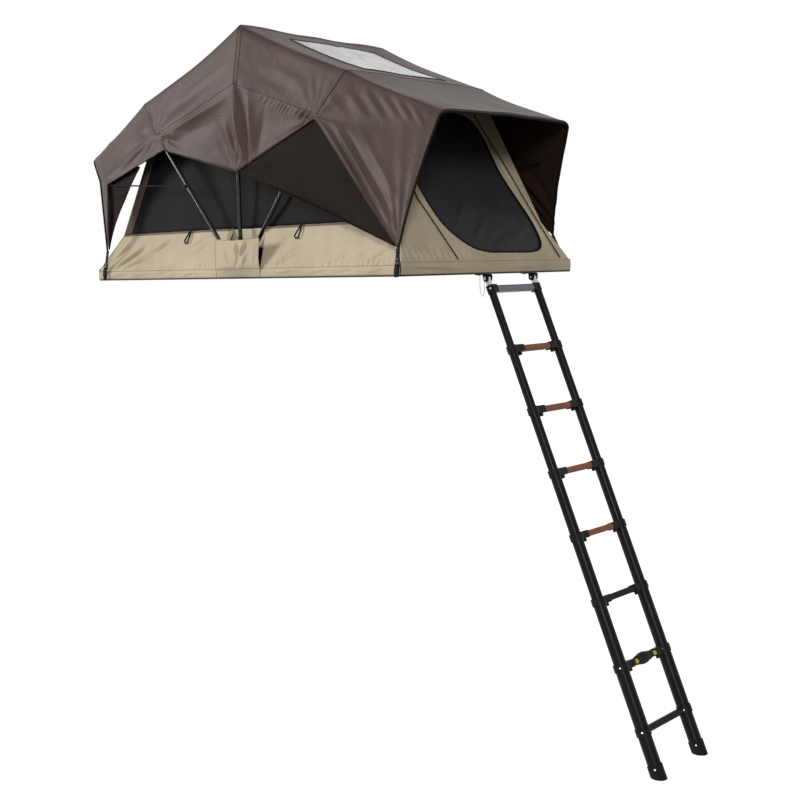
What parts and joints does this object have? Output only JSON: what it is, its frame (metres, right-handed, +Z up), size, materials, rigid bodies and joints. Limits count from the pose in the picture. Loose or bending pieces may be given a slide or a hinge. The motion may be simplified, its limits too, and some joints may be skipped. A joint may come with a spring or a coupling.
{
  "type": "roof top tent",
  "caption": "Fold-out roof top tent with hinged floor halves, a fan of bows, an inner tent, a brown fly sheet with awnings and a telescopic ladder",
  "frame": {"origin": "centre of the four roof fixing inserts, on the underside of the floor half that stays on the car", "axes": "+X along the tent towards the ladder, +Y across it, +Z up"},
  "size_m": [3.4787, 1.3244, 3.3992],
  "materials": {
    "floor_core": "brushed sheet over a foam core",
    "rail_black": "satin black powder coat",
    "mattress_cover": "woven cotton cover",
    "steel": "zinc plated",
    "hinge_black": "satin black powder coat",
    "webbing": "woven nylon with moulded buckles",
    "wall_canvas": "matt cotton canvas",
    "insect_mesh": "fine black mesh",
    "fly_fabric": "coated woven fly fabric",
    "flap_fabric": "coated woven fly fabric, darker",
    "clear_film": "clear flexible film",
    "bow_tube": "anodised tube",
    "fitting_black": "moulded",
    "ladder_tube": "satin black anodised",
    "ladder_grey": "grey anodised",
    "collar_black": "moulded",
    "rung_brown": "red-brown anodised",
    "rung_black": "satin black anodised",
    "grip_rubber": "soft grip",
    "button_yellow": "moulded yellow",
    "foot_rubber": "moulded rubber"
  },
  "bodies": {
    "car_base": {"car_floor_board": "floor_core", "car_floor_rails": "rail_black", "mount_inserts": "steel", "car_mattress": "mattress_cover", "car_hinge_brackets": "hinge_black", "hinge_pins": "steel", "car_corner_ties": "webbing", "inner_skirt": "wall_canvas", "inner_mesh": "insect_mesh", "inner_ends": "wall_canvas", "inner_roof": "wall_canvas", "fly": "fly_fabric", "side_flaps": "flap_fabric", "skylight": "clear_film", "hinge_covers": "wall_canvas"},
    "ladder_base": {"ladder_floor_board": "floor_core", "ladder_floor_rails": "rail_black", "ladder_mattress": "mattress_cover", "ladder_hinge_brackets": "hinge_black", "ladder_brackets": "hinge_black", "bracket_bolts": "steel", "ladder_corner_ties": "webbing", "lanyards": "steel"},
    "car_bow": {"car_bow_tubes": "bow_tube", "car_bow_fittings": "fitting_black"},
    "mid_bow": {"mid_bow_tubes": "bow_tube", "mid_bow_fittings": "fitting_black"},
    "ladder_bow": {"ladder_bow_tubes": "bow_tube", "ladder_bow_fittings": "fitting_black"},
    "car_rods": {"car_awning_rods": "hinge_black"},
    "ladder_rods": {"ladder_awning_rods": "hinge_black"},
    "near_pin": {"near_ladder_pin": "steel"},
    "far_pin": {"far_ladder_pin": "steel"},
    "ladder_1": {"ladder_links": "ladder_grey", "ladder_caps": "fitting_black", "top_bar": "ladder_grey", "stiles_1": "ladder_tube"},
    "ladder_2": {"stiles_2": "ladder_tube", "collars_2": "collar_black", "rung_2": "rung_brown"},
    "ladder_3": {"stiles_3": "ladder_tube", "collars_3": "collar_black", "rung_3": "rung_brown"},
    "ladder_4": {"stiles_4": "ladder_tube", "collars_4": "collar_black", "rung_4": "rung_brown"},
    "ladder_5": {"stiles_5": "ladder_tube", "collars_5": "collar_black", "rung_5": "rung_brown"},
    "ladder_6": {"stiles_6": "ladder_tube", "collars_6": "collar_black", "rung_6": "rung_black"},
    "ladder_7": {"stiles_7": "ladder_tube", "collars_7": "collar_black", "handle_rung": "rung_black", "handle_grip": "grip_rubber", "bottom_rung": "rung_black", "feet": "foot_rubber"},
    "left_button": {"left_release_button": "button_yellow"},
    "right_button": {"right_release_button": "button_yellow"}
  },
  "joints": [
    {"name": "base_fold", "type": "hinge", "parent": "car_base", "child": "ladder_base", "pos_m": [0.57, 0, 0.11], "axis": [0, -1, 0], "range_deg": [0, 179], "deforming": ["inner_skirt", "inner_mesh", "inner_ends", "inner_roof", "fly", "side_flaps", "skylight", "hinge_covers", "car_corner_ties", "ladder_corner_ties"]},
    {"name": "car_bow_turn", "type": "hinge", "parent": "car_base", "child": "car_bow", "pos_m": [0.57, 0, 0.11], "axis": [0, -1, 0], "range_deg": [0, 49]},
    {"name": "mid_bow_turn", "type": "hinge", "parent": "car_base", "child": "mid_bow", "pos_m": [0.57, 0, 0.11], "axis": [0, -1, 0], "range_deg": [0, 91]},
    {"name": "ladder_bow_turn", "type": "hinge", "parent": "car_base", "child": "ladder_bow", "pos_m": [0.57, 0, 0.11], "axis": [0, -1, 0], "range_deg": [0, 131]},
    {"name": "car_rods_turn", "type": "hinge", "parent": "car_bow", "child": "car_rods", "pos_m": [0.19503, 0, 0.47359], "axis": [0, -1, 0], "range_deg": [-45, 0]},
    {"name": "ladder_rods_turn", "type": "hinge", "parent": "ladder_bow", "child": "ladder_rods", "pos_m": [0.92367, 0, 0.49272], "axis": [0, -1, 0], "range_deg": [0, 45]},
    {"name": "ladder_swing", "type": "hinge", "parent": "ladder_base", "child": "ladder_1", "pos_m": [1.709, 0.145, -0.0206], "axis": [0, 1, 0], "range_deg": [-67, 0]},
    {"name": "ladder_slide_2", "type": "slide", "parent": "ladder_1", "child": "ladder_2", "axis": [-0.3891, 0, 0.9212], "range_m": [0, 0.22]},
    {"name": "ladder_slide_3", "type": "slide", "parent": "ladder_2", "child": "ladder_3", "axis": [-0.3891, 0, 0.9212], "range_m": [0, 0.22]},
    {"name": "ladder_slide_4", "type": "slide", "parent": "ladder_3", "child": "ladder_4", "axis": [-0.3891, 0, 0.9212], "range_m": [0, 0.22]},
    {"name": "ladder_slide_5", "type": "slide", "parent": "ladder_4", "child": "ladder_5", "axis": [-0.3891, 0, 0.9212], "range_m": [0, 0.22]},
    {"name": "ladder_slide_6", "type": "slide", "parent": "ladder_5", "child": "ladder_6", "axis": [-0.3891, 0, 0.9212], "range_m": [0, 0.22]},
    {"name": "ladder_slide_7", "type": "slide", "parent": "ladder_6", "child": "ladder_7", "axis": [-0.3891, 0, 0.9212], "range_m": [0, 0.22]},
    {"name": "near_pin_pull", "type": "slide", "parent": "ladder_base", "child": "near_pin", "axis": [0, -1, 0], "range_m": [0, 0.045], "deforming": ["lanyards"]},
    {"name": "far_pin_pull", "type": "slide", "parent": "ladder_base", "child": "far_pin", "axis": [0, 1, 0], "range_m": [0, 0.045]},
    {"name": "left_button_press", "type": "slide", "parent": "ladder_7", "child": "left_button", "axis": [-0.9212, 0, -0.3891], "range_m": [0, 0.006], "stiffness_N_per_m": 600},
    {"name": "right_button_press", "type": "slide", "parent": "ladder_7", "child": "right_button", "axis": [-0.9212, 0, -0.3891], "range_m": [0, 0.006], "stiffness_N_per_m": 600}
  ],
  "couplings": [
    {"joint": "car_bow_turn", "follows": "base_fold", "ratio": 0.27235},
    {"joint": "mid_bow_turn", "follows": "base_fold", "ratio": 0.50571},
    {"joint": "ladder_bow_turn", "follows": "base_fold", "ratio": 0.72668},
    {"joint": "car_rods_turn", "follows": "base_fold", "ratio": -0.2462},
    {"joint": "ladder_rods_turn", "follows": "base_fold", "ratio": 0.2469},
    {"joint": "ladder_slide_3", "follows": "ladder_slide_2", "ratio": 1},
    {"joint": "ladder_slide_4", "follows": "ladder_slide_2", "ratio": 1},
    {"joint": "ladder_slide_5", "follows": "ladder_slide_2", "ratio": 1},
    {"joint": "ladder_slide_6", "follows": "ladder_slide_2", "ratio": 1},
    {"joint": "ladder_slide_7", "follows": "ladder_slide_2", "ratio": 1}
  ]
}
